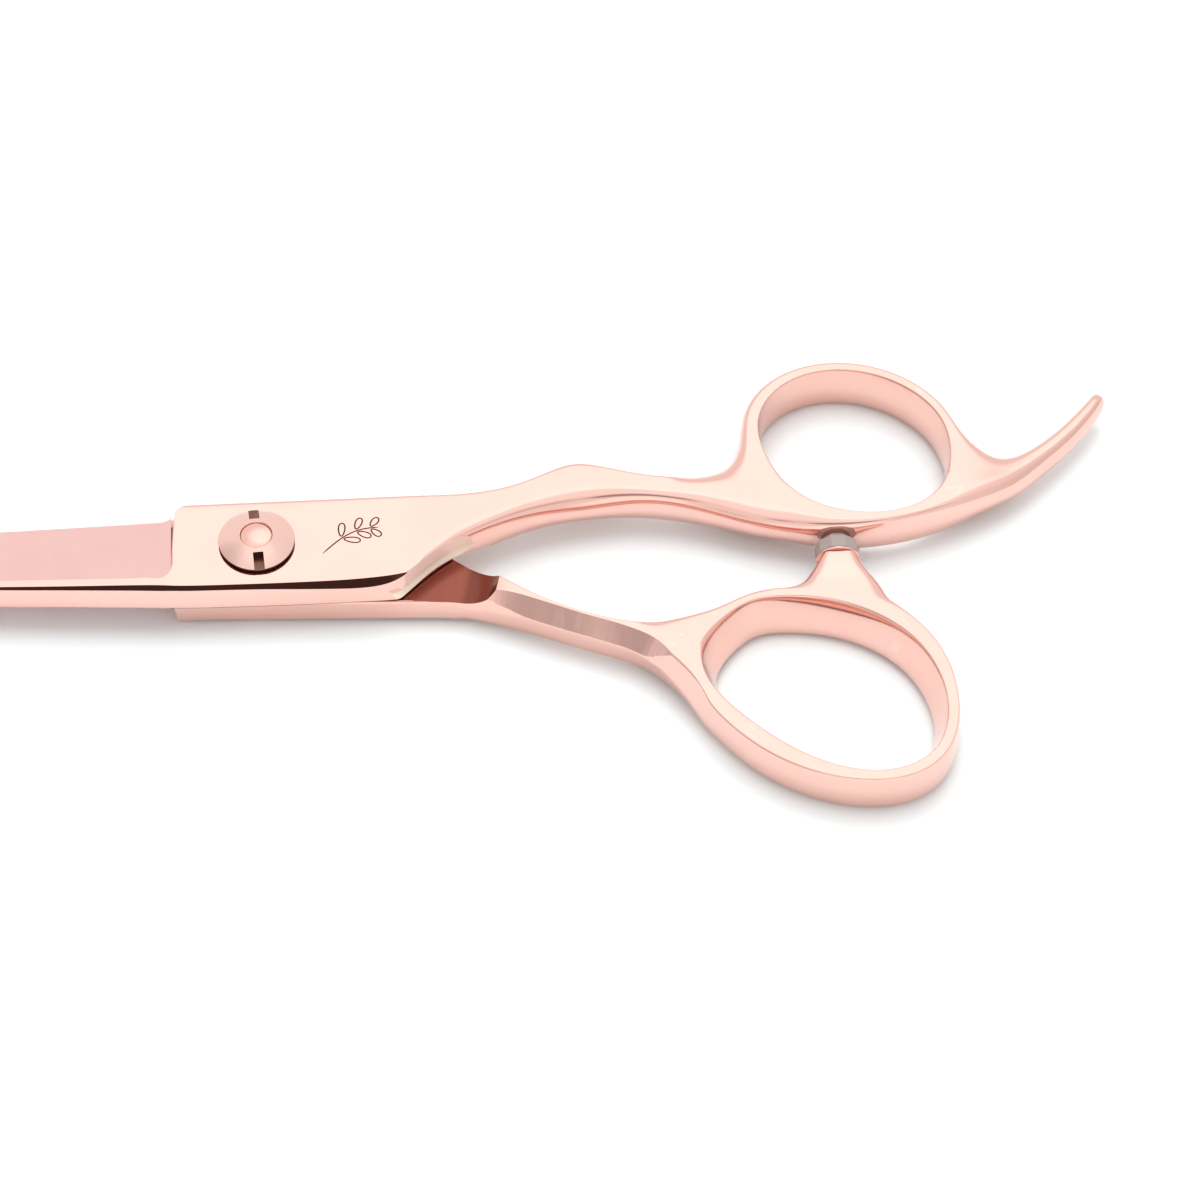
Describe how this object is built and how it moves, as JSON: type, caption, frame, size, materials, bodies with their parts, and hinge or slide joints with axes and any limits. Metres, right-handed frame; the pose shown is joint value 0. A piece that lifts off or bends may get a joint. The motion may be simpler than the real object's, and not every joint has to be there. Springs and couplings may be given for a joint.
{
  "type": "hair cutting shears",
  "caption": "Straight hair cutting shears: two blades with offset finger loops and a finger rest, turning on a stud with a slotted tension disc, with a soft bumper between the handles.",
  "frame": {"origin": "on the pivot axis, at the flat back face of the pivot stud's head, which the shears rest on", "axes": "+X along the blades' axis towards the finger loops, +Z along the pivot axis towards the tension disc"},
  "size_m": [0.1706, 0.0589, 0.0085],
  "materials": {
    "front_half": "mirror-polished rose-gold titanium coating on steel",
    "rear_half": "mirror-polished rose-gold titanium coating on steel",
    "pivot_stud": "polished rose-gold coating on steel",
    "tension_disc": "polished rose-gold coating on steel",
    "pivot_bush": "turned brass",
    "thrust_washer": "smooth white bearing plastic",
    "spring_washer": "plain spring steel",
    "pressure_washer": "smooth black bearing plastic",
    "bumper": "translucent grey silicone",
    "bumper_collar": "polished rose-gold coating on steel",
    "bumper_stud": "plain turned steel"
  },
  "bodies": {
    "rear": {"rear_half": "rear_half", "pivot_stud": "pivot_stud", "thrust_washer": "thrust_washer", "pressure_washer": "pressure_washer", "bumper": "bumper", "bumper_collar": "bumper_collar", "bumper_stud": "bumper_stud"},
    "front": {"front_half": "front_half", "pivot_bush": "pivot_bush", "spring_washer": "spring_washer"},
    "disc": {"tension_disc": "tension_disc"}
  },
  "joints": [
    {"name": "blade_pivot", "type": "hinge", "parent": "rear", "child": "front", "pos_m": [0, 0, 0], "axis": [0, 0, 1], "range_deg": [0, 70]},
    {"name": "tension_turn", "type": "hinge", "parent": "rear", "child": "disc", "pos_m": [0, 0, 0], "axis": [0, 0, 1], "range_deg": [-45, 90]}
  ]
}
